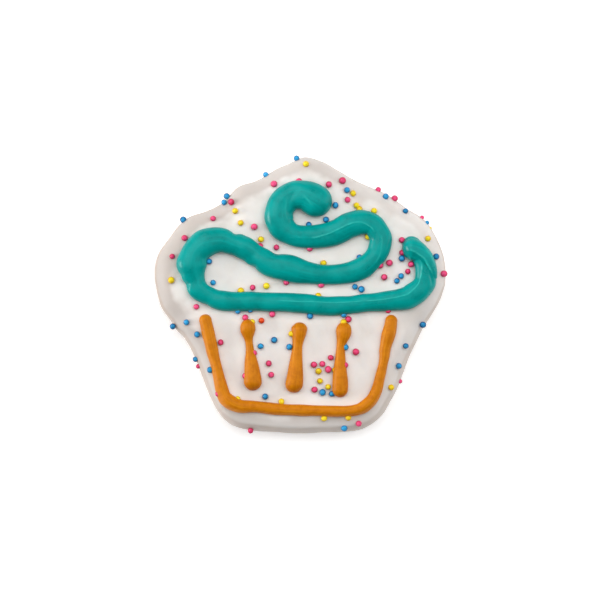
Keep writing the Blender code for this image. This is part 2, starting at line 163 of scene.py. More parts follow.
# Beads low on the rim, of which the top view shows a sliver: letter of the colour, direction in
# degrees and radius in millimetres
RIM_BEADS = (("p", 32.4, 0.7), ("b", 29.6, 0.7), ("y", 27.1, 0.5), ("p", 215.1, 0.8),
             ("p", 319.2, 0.7))

# Grid of a bead, and how far each of its sides may differ from a true ball
BEAD_AROUND = 12
BEAD_RINGS = 6
BEAD_SQUASH = 0.05

# Grid of the coating
COAT_AROUND = 600
UNDER_RINGS = 28
FOOT_RINGS = 7
WALL_RINGS = 5
SHOULDER_RINGS = 24
TOP_RINGS = 72

# Unevenness of the coating: length of its swells and dimples and how high they stand, and the
# dents of the underside
SWELL_LENGTH = 15.0 * MM
SWELL_HEIGHT = 0.10 * MM
DIMPLE_LENGTH = 5.0 * MM
DIMPLE_HEIGHT = 0.025 * MM
WAVE_COUNT = 9
WAVE_SPREAD = (0.7, 1.5)
UNDER_LENGTH = 6.0 * MM
UNDER_DEPTH = 0.12 * MM
SWELL_SEED = 3
DIMPLE_SEED = 5
UNDER_SEED = 11

# Soft ridge where the coating pooled along the lower rim: how far in it lies, half its width, its
# height, and the y at which it starts and is full
RIDGE_INSET = 2.0 * MM
RIDGE_WIDTH = 0.9 * MM
RIDGE_HEIGHT = 0.35 * MM
RIDGE_START = -30.0 * MM
RIDGE_FULL = -38.0 * MM

# Shallow hollows of the coating: x, y, reach and depth in millimetres
HOLLOWS = (
    (-37.3, -7.8, 4.3, 0.65), (35.3, -8.5, 4.4, 0.45), (-41.0, 6.5, 3.0, 0.15),
    (-17.5, 31.0, 4.5, 0.25), (12.0, 33.0, 5.0, 0.15), (-25.0, -28.0, 3.0, 0.10),
)

# Grid of a piped line, and how deep its foot goes into the coating
LINE_SPACING = 0.35 * MM
TIP_RINGS = 12
ARCH_POINTS = 75
BASE_POINTS = 7
LINE_SINK = 0.25 * MM
LINE_SWELL_LENGTH = 6.0 * MM
LINE_SWELL_HEIGHT = 0.06 * MM
SWIRL_SEED = 21
TAIL_SEED = 22
WRAPPER_SEED = 23

# How far the tail is lifted where it lies over the swirl: distance along it and lift in
# millimetres
TAIL_LIFTS = (
    (0.0, 0.5), (2.5, 0.7), (5.5, 1.0), (8.3, 1.6), (11.0, 1.9), (13.0, 2.1), (15.8, 1.6),
)
NO_LIFTS = ((0.0, 0.0),)

# Fine ridges and furrows along a line: height and half the width in millimetres, how strong the
# painted highlight on the crest is, then the distance along the line in millimetres and the angle
# from its crest in degrees, positive to the right
SWIRL_CREASES = (
    (0.15, 0.22, 0.7, ((33.0, 14.0), (37.2, 1.0), (41.8, -6.0), (47.4, -3.0), (50.5, 5.0),
                       (53.1, 18.0), (57.0, 22.0))),
    (0.06, 0.30, 0.3, ((57.0, -2.0), (61.4, -7.0), (63.1, -15.0), (67.5, -32.0))),
    (0.10, 0.22, 0.5, ((162.0, -6.0), (169.0, -9.0), (173.6, -19.0), (178.4, -23.0),
                       (185.0, -16.0), (190.0, -12.0))),
    (0.12, 0.22, 0.5, ((188.0, -9.0), (195.4, -10.0), (200.2, -14.0), (204.0, -17.0))),
    (0.16, 0.22, 0.9, ((199.5, -13.0), (203.0, -15.0), (207.0, -24.0), (209.9, -31.0),
                       (212.3, -28.0), (217.0, -16.0))),
    (-0.55, 0.65, 0.0, ((208.8, 50.0), (210.2, 42.0), (211.4, 28.0), (212.8, 12.0), (214.5, 2.0),
                        (216.5, -2.0), (220.5, -4.0))),
    (-0.20, 0.90, 0.0, ((9.5, 26.0), (11.8, 11.0), (13.0, -4.0), (15.8, -29.0), (19.3, -43.0),
                        (23.0, -50.0))),
    (0.06, 0.50, 0.2, ((13.4, 0.0), (14.6, -3.0), (16.6, -19.0), (20.5, -31.0), (24.0, -36.0))),
    (0.10, 0.45, 0.3, ((4.0, -22.0), (6.0, -20.0), (8.3, -9.0), (10.5, 4.0))),
)
TAIL_CREASES = (
    (0.22, 0.32, 0.7, ((1.0, 2.0), (4.1, 10.0), (7.3, 22.0), (8.1, 25.0), (11.0, 43.0),
                       (13.0, 45.0), (15.2, 30.0))),
    (-0.25, 0.80, 0.0, ((1.0, 22.0), (4.1, 34.0), (7.3, 52.0), (9.0, 70.0))),
    (0.08, 0.50, 0.3, ((5.0, -40.0), (8.0, -35.0), (12.0, -40.0))),
)
CREASE_FADE = 2.5 * MM

# Bumps and notches of the swirl: distance along it, angle from its crest, reach along it, reach
# in angle and height, in millimetres and degrees. A grain is a small bump, all of one size
GRAIN = (0.4, 6.0, 0.14)
SWIRL_BUMPS = (
    (128.4, 85.0, 2.2, 38.0, 0.40), (131.5, 78.0, 0.8, 30.0, -0.30),
    (133.0, 70.0, 0.8, 30.0, 0.22), (134.8, 62.0, 0.7, 24.0, -0.40),
    (136.8, 55.0, 1.5, 30.0, 0.42), (110.9, 85.0, 1.0, 35.0, 0.30),
    (113.0, 85.0, 0.9, 35.0, -0.35), (105.0, -85.0, 1.3, 30.0, 0.45),
    (102.5, -80.0, 1.0, 30.0, -0.40), (98.0, 80.0, 2.0, 35.0, -0.50),
    (12.5, 5.0, 2.2, 30.0, -0.30), (17.5, -8.0, 3.5, 16.0, -0.18), (6.0, 40.0, 3.0, 30.0, 0.12),
) + tuple((along, angle, *GRAIN) for along, angle in (
    (28.5, 21.0), (30.6, 11.0), (31.4, -23.0), (34.1, 35.0), (8.8, -14.0), (39.5, -2.0),
))
WRAPPER_BUMPS = ((70.0, 80.0, 1.2, 30.0, 0.15),)

# Direction towards which painted shade darkens the coating's rim more and reaches further in
RIM_SHADE_TOWARDS = (-0.9, 0.44, 0.0)

# Height plus a share of y: painted shade and bare biscuit low on the wall, most along the lower rim
SHADED_LOWER_RIM = (0.0, 0.04, 1.0)

# Colours of the coating: usual, pooled, thin over the rim with painted shade, and the biscuit
# that shows low down, also as painted shade along the lower rim
MILK, POOLED_MILK, THIN_SHADED_MILK, CRUMB = "EEE8E3", "F3EFEB", "BAAFA7", "AD8A6C"

# Deep, usual, light and painted-highlight colours of each icing, length of the streaks in it, and
# letter, deep and bright colour of each bead's shell, which its height on the ball mixes as painted
# shade and light
TEAL_TONES = ("008C86", "009D97", "00A6A0", "3CD2C4")
CARAMEL_TONES = ("C46F04", "D5800A", "E18F18", "E8A040")
STREAK_LENGTH = 14 * MM
SHELLS = {
    "pink": ("p", "B80A3E", "FF5A90"), "blue": ("b", "054880", "36ACE6"),
    "yellow": ("y", "E0AC00", "FFE630"), "orange": ("o", "DC3008", "FF6A30"),
}

# Inputs and output of a Mix node that mixes colours
FACTOR, FIRST, SECOND, MIXED = 0, 6, 7, 2

# Camera: lens and sensor in millimetres, distance in metres
CAMERA_LENS = 200.0
CAMERA_SENSOR = 36.0
CAMERA_DISTANCE = 1.027
CAMERA_ELEVATION = math.radians(88.0)
CAMERA_TARGET = (0.0, -1.7 * MM, 9.5 * MM)

# Softboxes and cross-polarised scrims: name, azimuth and elevation in degrees, width and height
# in metres, power in watts. Then the glow and half width of the table and the fill of the room
SOFTBOX_DISTANCE = 1.3
SOFTBOXES = (
    ("key_softbox", 132.0, 50.0, 1.2, 1.1, 6.7),
    ("left_low_softbox", 180.0, 12.0, 0.6, 0.40, 10.5),
    ("right_low_softbox", 4.0, 14.0, 0.6, 0.40, 1.6),
)
SCRIMS = (
    ("back_right_scrim", 45.0, 50.0, 1.2, 1.1, 7.0),
    ("right_scrim", 0.0, 50.0, 1.1, 1.1, 3.7),
    ("left_scrim", 178.0, 57.0, 0.9, 0.9, 1.2),
    ("overhead_scrim", 90.0, 86.0, 1.0, 1.0, 2.9),
)
TABLE_GLOW = 0.3
TABLE_HALF = 3.0
ROOM_FILL = 0.02


def spline_through(points, closed=False):
    """Rows along the Catmull-Rom curve through the given rows, which may hold a width as well."""
    rows = np.array(points, dtype=float) * MM
    if closed:
        rows = np.vstack((rows[-1:], rows, rows[:2]))
    else:
        rows = np.vstack((2 * rows[0] - rows[1], rows, 2 * rows[-1] - rows[-2]))
    before, start, end, after = (rows[i:len(rows) - 3 + i, None] for i in range(4))
    t = np.linspace(0.0, 1.0, SPLINE_STEPS, endpoint=False)[None, :, None]
    bend = 2 * before - 5 * start + 4 * end - after
    twist = 3 * (start - end) + after - before
    curve = start + 0.5 * t * (end - before + t * (bend + t * twist))
    curve = curve.reshape(-1, rows.shape[1])
    return curve if closed else np.vstack((curve, rows[-2]))


@functools.lru_cache(maxsize=None)
def rim_curve():
    """Directions and distances of the outline from the middle of the plan, sorted by direction."""
    rim = spline_through(OUTLINE, closed=True)
    directions = np.arctan2(rim[:, 1], rim[:, 0])
    order = np.argsort(directions)
    return directions[order], np.hypot(rim[:, 0], rim[:, 1])[order]


def rim_radius(angles):
    directions, distances = rim_curve()
    return np.interp(angles, directions, distances, period=FULL_TURN)


def rim_inset(x, y):
    """How far inside the outline a place is, measured towards the middle of the plan."""
    return rim_radius(np.arctan2(y, x)) - np.hypot(x, y)


def coat_fall(inset):
    """How far the coating lies below its flat middle: a shallow crown and a quarter ellipse."""
    crown = np.clip(1 - inset / CROWN_WIDTH, 0.0, 1.0)
    edge = np.clip(1 - inset / SHOULDER_WIDTH, 0.0, 1.0)
    return CROWN_FALL * crown ** 2 + SHOULDER_HEIGHT * (1 - np.sqrt(1 - edge ** 2))


def swell(points, length, seed):
    """A gentle swell of unit strength: the sum of cosines of plane waves in random directions."""
    draw = np.random.default_rng(seed)
    headings = draw.normal(size=(WAVE_COUNT, 3))
    headings /= np.linalg.norm(headings, axis=1, keepdims=True)
    lengths = length * draw.uniform(*WAVE_SPREAD, WAVE_COUNT)
    phases = draw.uniform(0.0, FULL_TURN, WAVE_COUNT)
    turns = points @ (FULL_TURN * headings / lengths[:, None]).T + phases
    return np.cos(turns).sum(axis=-1) * math.sqrt(2 / WAVE_COUNT)


def smooth_step(value, low, high):
    """0 below low, 1 above high, and the cubic 3t^2 - 2t^3 between them."""
    t = np.clip((value - low) / (high - low), 0.0, 1.0)
    return t * t * (3 - 2 * t)


def coat_relief(points):
    """How far the coating stands proud: two swells and the ridge, less a bell for each hollow."""
    relief = SWELL_HEIGHT * swell(points, SWELL_LENGTH, SWELL_SEED)
    relief += DIMPLE_HEIGHT * swell(points, DIMPLE_LENGTH, DIMPLE_SEED)
    for x, y, reach, depth in HOLLOWS:
        gap = np.hypot(points[..., 0] - x * MM, points[..., 1] - y * MM)
        relief -= depth * MM * np.exp(-(gap / (reach * MM)) ** 2)
    off = (rim_inset(points[..., 0], points[..., 1]) - RIDGE_INSET) / RIDGE_WIDTH
    low = 1 - smooth_step(points[..., 1], RIDGE_FULL, RIDGE_START)
    return relief + RIDGE_HEIGHT * low * np.exp(-off ** 2)


def coat_top(x, y):
    """Height of the uneven coating under a place of the plan."""
    height = THICKNESS - coat_fall(rim_inset(x, y))
    return height + coat_relief(np.stack((x, y, height), axis=-1))


def outward(grid):
    """Unit normals of a grid of rings: the cross product of the steps round and between rings."""
    round_step = np.roll(grid, -1, axis=1) - np.roll(grid, 1, axis=1)
    normal = np.cross(round_step, np.gradient(grid, axis=0))
    return normal / np.linalg.norm(normal, axis=2, keepdims=True)


def coat_rings():
    """Rings of the coating from the middle of the underside over the rim to the middle of the top.

    A point's distance from the middle is (outline - inset) times a share: the share grows over
    the underside, the inset runs round the foot's quarter circle, up the wall and in over the
    shoulder's quarter ellipse, and the share shrinks over the top.
    """
    angles = np.arange(COAT_AROUND) * FULL_TURN / COAT_AROUND
    foot = np.linspace(0.0, QUARTER_TURN, FOOT_RINGS)
    shoulder = np.linspace(0.0, QUARTER_TURN, SHOULDER_RINGS)
    wall = np.linspace(FOOT_RADIUS, THICKNESS - CROWN_FALL - SHOULDER_HEIGHT, WALL_RINGS + 2)[1:-1]
    out = np.arange(1, UNDER_RINGS + 1) / (UNDER_RINGS + 1)
    back = 1 - np.arange(1, TOP_RINGS + 1) / (TOP_RINGS + 1)
    inset = np.concatenate((np.full(UNDER_RINGS, FOOT_RADIUS), FOOT_RADIUS * (1 - np.sin(foot)),
                            np.zeros(WALL_RINGS), SHOULDER_WIDTH * (1 - np.cos(shoulder)),
                            np.full(TOP_RINGS, SHOULDER_WIDTH)))
    share = np.concatenate((out, np.ones(FOOT_RINGS + WALL_RINGS + SHOULDER_RINGS), back))
    outline = rim_radius(angles)
    reach = (outline - inset[:, None]) * share[:, None]
    height = THICKNESS - coat_fall(outline - reach)
    lower = UNDER_RINGS + FOOT_RINGS + WALL_RINGS
    low = np.concatenate((np.zeros(UNDER_RINGS), FOOT_RADIUS * (1 - np.cos(foot)), wall))
    height[:lower] = low[:, None]
    rings = np.stack((reach * np.cos(angles), reach * np.sin(angles), height), axis=-1)
    proud = coat_relief(rings) * smooth_step(height, 0.0, FOOT_RADIUS)
    rings += outward(rings) * proud[..., None]
    dents = 0.5 + 0.5 * np.tanh(swell(rings, UNDER_LENGTH, UNDER_SEED))
    rings[:UNDER_RINGS, :, 2] += UNDER_DEPTH * (dents * (1 - share[:, None] ** 4))[:UNDER_RINGS]
    return rings


def ring_faces(count, around):
    """Faces of a closed skin: a fan from point 0, quads between rings, a fan to the last point."""
    ring = 1 + np.arange(count * around).reshape(count, around)
    beside = np.roll(ring, -1, axis=1)
    quads = np.stack((ring[:-1], beside[:-1], beside[1:], ring[1:]), axis=-1).reshape(-1, 4)
    near = np.stack((np.zeros(around, dtype=int), beside[0], ring[0]), axis=-1)
    far = np.stack((np.full(around, 1 + count * around), ring[-1], beside[-1]), axis=-1)
    return quads, np.vstack((near, far))


def skin(rings):
    """Points and faces of a closed skin whose poles are the middles of its end rings."""
    points = np.vstack((rings[0].mean(axis=0), rings.reshape(-1, 3), rings[-1].mean(axis=0)))
    return (points,) + ring_faces(*rings.shape[:2])


def piece(name, points, quads, triangles, material, slot, **layers):
    """A smooth mesh object that rides on the body; each layer is an attribute of its points."""
    mesh = bpy.data.meshes.new(name)
    mesh.vertices.add(len(points))
    mesh.vertices.foreach_set("co", points.ravel())
    corners = np.concatenate((quads.ravel(), triangles.ravel()))
    mesh.loops.add(len(corners))
    mesh.loops.foreach_set("vertex_index", corners)
    starts = np.concatenate((4 * np.arange(len(quads)),
                             4 * len(quads) + 3 * np.arange(len(triangles))))
    mesh.polygons.add(len(starts))
    mesh.polygons.foreach_set("loop_start", starts)
    mesh.update(calc_edges=True)
    for layer, values in layers.items():
        attribute = mesh.attributes.new(layer, "FLOAT_VECTOR", "POINT")
        attribute.data.foreach_set("vector", values.ravel())
    mesh.shade_smooth()
    mesh.materials.append(material)
    made = bpy.data.objects.new(name, mesh)
    bpy.context.scene.collection.objects.link(made)
    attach(made, "root")
    return made


def line_stations(route, spacing, tip_angles):
    """Rows of x, y, half-width and fullness along a line, whose tips close as quarter circles.

    Returns the rows and their distances along the line. Fullness is 1, and falls to 0 at a tip.
    """
    path = spline_through(route)
    steps = np.hypot(*np.diff(path[:, :2], axis=0).T)
    along = np.concatenate(([0.0], np.cumsum(steps)))
    length, first, last = along[-1], path[0, 2], path[-1, 2]
    tip = 1 - np.cos(tip_angles)
    count = max(2, round((length - first - last) / spacing) + 1)
    body = np.linspace(first, length - last, count)
    places = np.concatenate((first * tip, body, length - last * tip[::-1]))
    rows = np.stack([np.interp(places, along, column) for column in path.T], axis=1)
    into_tip = np.minimum(np.minimum(places / first, (length - places) / last), 1.0)
    fullness = np.sqrt(1 - (1 - into_tip) ** 2)
    rows[:, 2] *= fullness
    return np.column_stack((rows, fullness)), places


def line_swellings(places, angles, half_width, bumps, creases):
    """How far a line's skin stands proud, by bells for its bumps and thin ridges for its creases.

    The second grid is the share of painted highlight on the skin, most along a crease's crest.
    """
    proud = np.zeros((len(places), len(angles)))
    dried = np.zeros((len(places), len(angles)))
    for along, angle, reach, turn, height in bumps:
        run = (places - along * MM) / (reach * MM)
        bend = (angles - math.radians(angle)) / math.radians(turn)
        proud += height * MM * np.exp(-run[:, None] ** 2 - bend[None, :] ** 2)
    for height, width, highlight_strength, course in creases:
        along, angle = np.array(course).T
        middle = np.radians(np.interp(places, along * MM, angle))
        off = (angles[None, :] - middle[:, None]) * half_width[:, None] / (width * MM)
        fade = smooth_step(places, along[0] * MM, along[0] * MM + CREASE_FADE)
        fade *= 1 - smooth_step(places, along[-1] * MM - CREASE_FADE, along[-1] * MM)
        ridge = fade[:, None] * np.exp(-off ** 2)
        proud += height * MM * ridge
        # Share of painted highlight, most on the crest of a ridge
        dried = np.maximum(dried, highlight_strength * ridge ** 2)
    return proud, dried


def piped_line(name, route, rise, material, slot, seed, bumps=(), creases=(), lifts=NO_LIFTS):
    """A line of icing: an arch carried along a path on the coating, and closed underneath.

    At angle t from its crest the arch is half-width times sin t to the right, and half-width
    times rise times (cos t - cos T) / (1 - cos T) up, where T is the angle of its foot. Lifts
    raise all of it where it lies over another line. The layer "run" holds the distance along
    the line, the distance across its arch and how full it is, and "dried" the share
    of painted highlight on its skin.
    """
    tip_angles = np.linspace(0.0, QUARTER_TURN, TIP_RINGS + 2)[1:-1]
    rows, places = line_stations(route, LINE_SPACING, tip_angles)
    middle, half_width, fullness = rows[:, :2], rows[:, 2], rows[:, 3]
    tangent = np.gradient(middle, axis=0)
    tangent /= np.hypot(*tangent.T)[:, None]
    right = np.stack((tangent[:, 1], -tangent[:, 0]), axis=1)
    angles = np.linspace(-UNDERCUT, UNDERCUT, ARCH_POINTS)
    height = (np.cos(angles) - math.cos(UNDERCUT)) / (1 - math.cos(UNDERCUT))
    side = half_width[:, None] * np.sin(angles)
    lift = half_width[:, None] * rise * height
    lift += fullness[:, None] * (TIDY_GAP * height - LINE_SINK * (1 - height))
    along, raised = MM * np.array(lifts).T
    raised = np.interp(places, along, raised)[:, None]
    proud, dried = line_swellings(places, angles, half_width, bumps, creases)
    proud *= fullness[:, None]
    base = np.linspace(1.0, -1.0, BASE_POINTS + 2)[1:-1] * math.sin(UNDERCUT)
    base_side = half_width[:, None] * base
    base_lift = np.repeat(-LINE_SINK * fullness[:, None], BASE_POINTS, axis=1)
    side = np.hstack((side + proud * np.sin(angles), base_side))
    lift = np.hstack((lift + proud * np.cos(angles), base_lift))
    plan = middle[:, None, :] + right[:, None, :] * side[..., None]
    level = THICKNESS - coat_fall(rim_inset(plan[..., 0], plan[..., 1])) + raised
    rings = np.concatenate((plan, (level + lift)[..., None]), axis=2)
    ripple = LINE_SWELL_HEIGHT * swell(rings, LINE_SWELL_LENGTH, seed) * fullness[:, None]
    rings[:, :ARCH_POINTS] += (outward(rings) * ripple[..., None])[:, :ARCH_POINTS]
    across = np.concatenate((angles, base / math.sin(UNDERCUT) * UNDERCUT))
    run = np.stack(np.broadcast_arrays(places[:, None], half_width[:, None] * across,
                                       fullness[:, None]), axis=-1)
    light = np.zeros(run.shape)
    light[:, :ARCH_POINTS] = dried[..., None]
    run, light = (np.vstack((layer[:1, ARCH_POINTS // 2], layer.reshape(-1, 3),
                             layer[-1:, ARCH_POINTS // 2])) for layer in (run, light))
    return piece(name, *skin(rings), material, slot, run=run, dried=light)


def free_beads():
    """Place, radius and colour of each bead, drawn at random round its patch until it has room.

    A bead keeps clear of the piped lines, of the outline and of the beads before it, and each try
    may go a little further out than the last.
    """
    draw = random.Random(BEAD_SEED)
    lines = [line_stations(route, spacing, TIP_ANGLES)[0] for route, spacing in
             ((SWIRL, SWIRL_SPACING), (SWIRL_TAIL, SWIRL_SPACING), (WRAPPER, WRAPPER_SPACING))
             + tuple((pleat, PLEAT_SPACING) for pleat in PLEATS)]
    stations = np.vstack(lines)
    places = []
    for patch_x, patch_y, reach, colours in BEAD_PATCHES:
        for colour in colours:
            for tries in range(BEAD_TRIES):
                radius = BEAD_RADIUS * (1 + draw.uniform(-BEAD_SPREAD, BEAD_SPREAD))
                angle = draw.uniform(0, FULL_TURN)
                out = (reach * MM + tries * BEAD_DRIFT) * math.sqrt(draw.random())
                x = patch_x * MM + out * math.cos(angle)
                y = patch_y * MM + out * math.sin(angle)
                room = np.hypot(stations[:, 0] - x, stations[:, 1] - y) - stations[:, 2]
                if rim_inset(x, y) < RIM_INSET or room.min() < radius + BEAD_CLEARANCE:
                    continue
                if all(math.hypot(x - other[0], y - other[1]) > radius + other[2] + BEAD_SPACING
                       for other in places):
                    places.append((x, y, radius, colour))
                    break
    return places


def bead_seats(x, y, radius):
    """Middles of beads that are sunk square into the coating, as deep on its rim as on its top."""
    inset = rim_inset(x, y)
    slope = (coat_fall(inset) - coat_fall(inset + SLOPE_STEP)) / SLOPE_STEP
    upright = 1 / np.hypot(1, slope)
    lift = radius - BEAD_SINK
    out = 1 + lift * slope * upright / np.hypot(x, y)
    return np.stack((x * out, y * out, coat_top(x, y) + lift * upright), axis=1)


def bead_colour(name, letter, places, material, slot):
    """All beads of one colour: a unit sphere of rings, squashed a little, sized and set in place.

    The layer "batch" holds two numbers drawn for the bead and the height on its unit sphere.
    """
    rows = np.array([place[:3] for place in places if place[3] == letter])
    draw = np.random.default_rng(BEAD_SEED + ord(letter))
    tilt = np.linspace(-QUARTER_TURN, QUARTER_TURN, BEAD_RINGS + 2)[1:-1, None]
    turn = np.arange(BEAD_AROUND)[None, :] * FULL_TURN / BEAD_AROUND
    ball = np.stack((np.cos(tilt) * np.cos(turn), np.cos(tilt) * np.sin(turn),
                     np.sin(tilt) + 0 * turn), axis=-1)
    points, quads, triangles = skin(ball)
    points[0], points[-1] = (0, 0, -1), (0, 0, 1)
    sizes = rows[:, 2, None] * (1 + draw.uniform(-BEAD_SQUASH, BEAD_SQUASH, (len(rows), 3)))
    seats = bead_seats(*rows.T)
    beads = seats[:, None, :] + sizes[:, None, :] * points
    shift = len(points) * np.arange(len(rows))[:, None, None]
    shade = np.repeat(draw.uniform(size=(len(rows), 1, 3)), len(points), axis=1)
    # Height on the ball, which the shell uses for painted light on its crown and painted shade
    # round its sides
    shade[..., 2] = points[:, 2]
    return piece(name, beads.reshape(-1, 3), (quads + shift).reshape(-1, 4),
                 (triangles + shift).reshape(-1, 3), material, slot, batch=shade)


def linear(code):
    """An sRGB hex code as linear red, green and blue with full alpha."""
    parts = [int(code[i:i + 2], 16) / 255 for i in (0, 2, 4)]
    curve = [c / 12.92 if c <= 0.04045 else ((c + 0.055) / 1.055) ** 2.4 for c in parts]
    return (*curve, 1.0)


def new_material(name):
    """A material and its node tree, with the Principled surface that Blender gives it."""
    material = bpy.data.materials.new(name)
    material.use_nodes = True
    tree = material.node_tree
    return material, tree, tree.nodes["Principled BSDF"]


def feed(tree, made, sockets):
    """Sets inputs of a node: sockets are pairs of an input and its value or another's output."""
    for socket, value in sockets:
        if isinstance(value, bpy.types.NodeSocket):
            tree.links.new(value, made.inputs[socket])
        else:
            made.inputs[socket].default_value = value


def node(tree, kind, sockets=(), **settings):
    """Adds a node, with its properties from settings and its inputs from sockets."""
    made = tree.nodes.new(kind)
    for setting, value in settings.items():
        setattr(made, setting, value)
    feed(tree, made, sockets)
    return made


def object_place(tree):
    """Place of the shaded point on its piece, in metres."""
    return node(tree, "ShaderNodeTexCoord").outputs["Object"]


def mesh_layer(tree, name):
    """A node that reads a layer of the mesh."""
    return node(tree, "ShaderNodeAttribute", attribute_name=name)


def noise(tree, place, size, detail=2.0, roughness=0.5):
    """Noise between 0 and 1 with features of about the given size."""
    made = node(tree, "ShaderNodeTexNoise", (("Vector", place), ("Scale", 1 / size),
                                             ("Detail", detail), ("Roughness", roughness)))
    return made.outputs["Fac"]


def ramp(tree, value, source, target=(0.0, 1.0), smooth=False):
    """The value carried from the source range to the target range, and held at its ends."""
    made = node(tree, "ShaderNodeMapRange", (("Value", value), ("From Min", source[0]),
                                             ("From Max", source[1]), ("To Min", target[0]),
                                             ("To Max", target[1])),
                interpolation_type="SMOOTHSTEP" if smooth else "LINEAR")
    return made.outputs["Result"]


def calculate(tree, operation, *values):
    return node(tree, "ShaderNodeMath", enumerate(values), operation=operation).outputs["Value"]


def dot_product(tree, place, direction):
    made = node(tree, "ShaderNodeVectorMath", ((0, place), (1, direction)),
                operation="DOT_PRODUCT")
    return made.outputs["Value"]


def blend(tree, share, first, second):
    """The first colour with a share of the second."""
    made = node(tree, "ShaderNodeMix", ((FACTOR, share), (FIRST, first), (SECOND, second)),
                data_type="RGBA")
    return made.outputs[MIXED]


def bump(tree, height, strength, distance, *under):
    """The normal of a skin roughened by a height, over the normal of a bump under it if any."""
    sockets = (("Height", height), ("Strength", strength), ("Distance", distance))
    made = node(tree, "ShaderNodeBump", sockets + tuple(("Normal", normal) for normal in under))
    return made.outputs["Normal"]


def yogurt_coating():
    """Yogurt coating: a hardened milky fat glaze, poured over the biscuit and left to set.

    It gives a soft satin white, a little translucent, faintly mottled where it pooled, and
    warmer and darker round the rim and down the wall: partly the biscuit showing through the thin
    coat, partly painted shade, which is stronger towards the upper left and along the lower rim.
    """
    material, tree, surface = new_material("set yogurt coating")
    place = object_place(tree)
    pools = noise(tree, place, 9 * MM, detail=3.0)
    pooled = ramp(tree, pools, (0.35, 0.65), smooth=True)
    milk = blend(tree, pooled, linear(MILK), linear(POOLED_MILK))
    height = node(tree, "ShaderNodeSeparateXYZ", (("Vector", place),)).outputs["Z"]
    uneven = calculate(tree, "MULTIPLY_ADD", pools, 1.5 * MM, height)
    # Painted shade: the rim is tinted darker towards the upper left, and the tint reaches further
    # in there
    shade_side = dot_product(tree, place, RIM_SHADE_TOWARDS)
    shade_reach = ramp(tree, shade_side, (34 * MM, 42 * MM), (0.0, 0.5 * MM))
    level = calculate(tree, "SUBTRACT", uneven, shade_reach)
    # Partly the thin coat over the biscuit, partly painted shade: the rim is tinted darker as the
    # coat falls away
    thin_rim_and_shade = ramp(tree, level, (11.6 * MM, 10.75 * MM), smooth=True)
    rim_side_shade = ramp(tree, shade_side, (-25 * MM, 42 * MM), (0.25, 0.80))
    shown = calculate(tree, "MULTIPLY", thin_rim_and_shade, rim_side_shade)
    top = blend(tree, shown, milk, linear(THIN_SHADED_MILK))
    # Painted shade and bare biscuit: the biscuit colour low on the wall, most along the lower rim
    low = dot_product(tree, place, SHADED_LOWER_RIM)
    bare_and_shade = ramp(tree, low, (8.0 * MM, 7.0 * MM), (0.0, 0.3), smooth=True)
    colour = blend(tree, bare_and_shade, top, linear(CRUMB))
    gloss = ramp(tree, pools, (0.0, 1.0), (0.42, 0.56))
    grain = noise(tree, place, 0.5 * MM, detail=3.0)
    peel = noise(tree, place, 2.2 * MM)
    fine = bump(tree, grain, 0.5, 0.02 * MM)
    relief = bump(tree, peel, 0.6, 0.12 * MM, fine)
    feed(tree, surface, (
        ("Base Color", colour), ("Roughness", gloss), ("Normal", relief), ("IOR", 1.45),
        ("Specular IOR Level", 0.3), ("Subsurface Weight", 0.25),
        ("Subsurface Radius", (1.0, 0.85, 0.7)), ("Subsurface Scale", 1.2 * MM),
    ))
    return material


def piped_icing(name, tones, roughness, specular, streak_width, mottle_size):
    """Piped icing: a stiff fat paste pushed through a round nozzle and left to set.

    It gives a smooth satin rope with faint streaks along its run, soft mottling, and a painted
    highlight along its crests. Tones are its deep, usual, light and painted-highlight colours.
    """
    material, tree, surface = new_material(name)
    deep, usual, light, highlight_tone = (linear(tone) for tone in tones)
    place = object_place(tree)
    run = mesh_layer(tree, "run").outputs["Vector"]
    drawn = node(tree, "ShaderNodeMapping",
                 (("Vector", run), ("Scale", (1 / STREAK_LENGTH, 1 / streak_width, 1.0))))
    streaks = noise(tree, drawn.outputs["Vector"], 1.0, detail=4.0, roughness=0.6)
    mottle = noise(tree, place, mottle_size, detail=4.0, roughness=0.65)
    deepened = ramp(tree, mottle, (0.60, 0.35), (0.0, 0.8), smooth=True)
    fullness = node(tree, "ShaderNodeSeparateXYZ", (("Vector", run),)).outputs["Z"]
    off_tip = ramp(tree, fullness, (0.5, 1.0), smooth=True)
    lightened = ramp(tree, streaks, (0.48, 0.75), (0.0, off_tip), smooth=True)
    body = blend(tree, deepened, usual, deep)
    streaked = blend(tree, lightened, body, light)
    # Painted highlight: a lighter tone along the crests of the creases, broken up by flecks
    dried = mesh_layer(tree, "dried").outputs["Fac"]
    flecks = noise(tree, place, 1.6 * MM)
    broken_highlight = ramp(tree, flecks, (0.38, 0.60), (0.25, dried))
    shown = calculate(tree, "MINIMUM", broken_highlight, dried)
    colour = blend(tree, shown, streaked, highlight_tone)
    gloss = ramp(tree, mottle, (0.0, 1.0), (roughness - 0.05, roughness + 0.07))
    pores = noise(tree, place, 0.9 * MM, detail=3.0)
    drag = bump(tree, streaks, off_tip, 0.03 * MM)
    relief = bump(tree, pores, 0.5, 0.04 * MM, drag)
    feed(tree, surface, (
        ("Base Color", colour), ("Roughness", gloss), ("Normal", relief), ("IOR", 1.45),
        ("Specular IOR Level", specular),
    ))
    return material


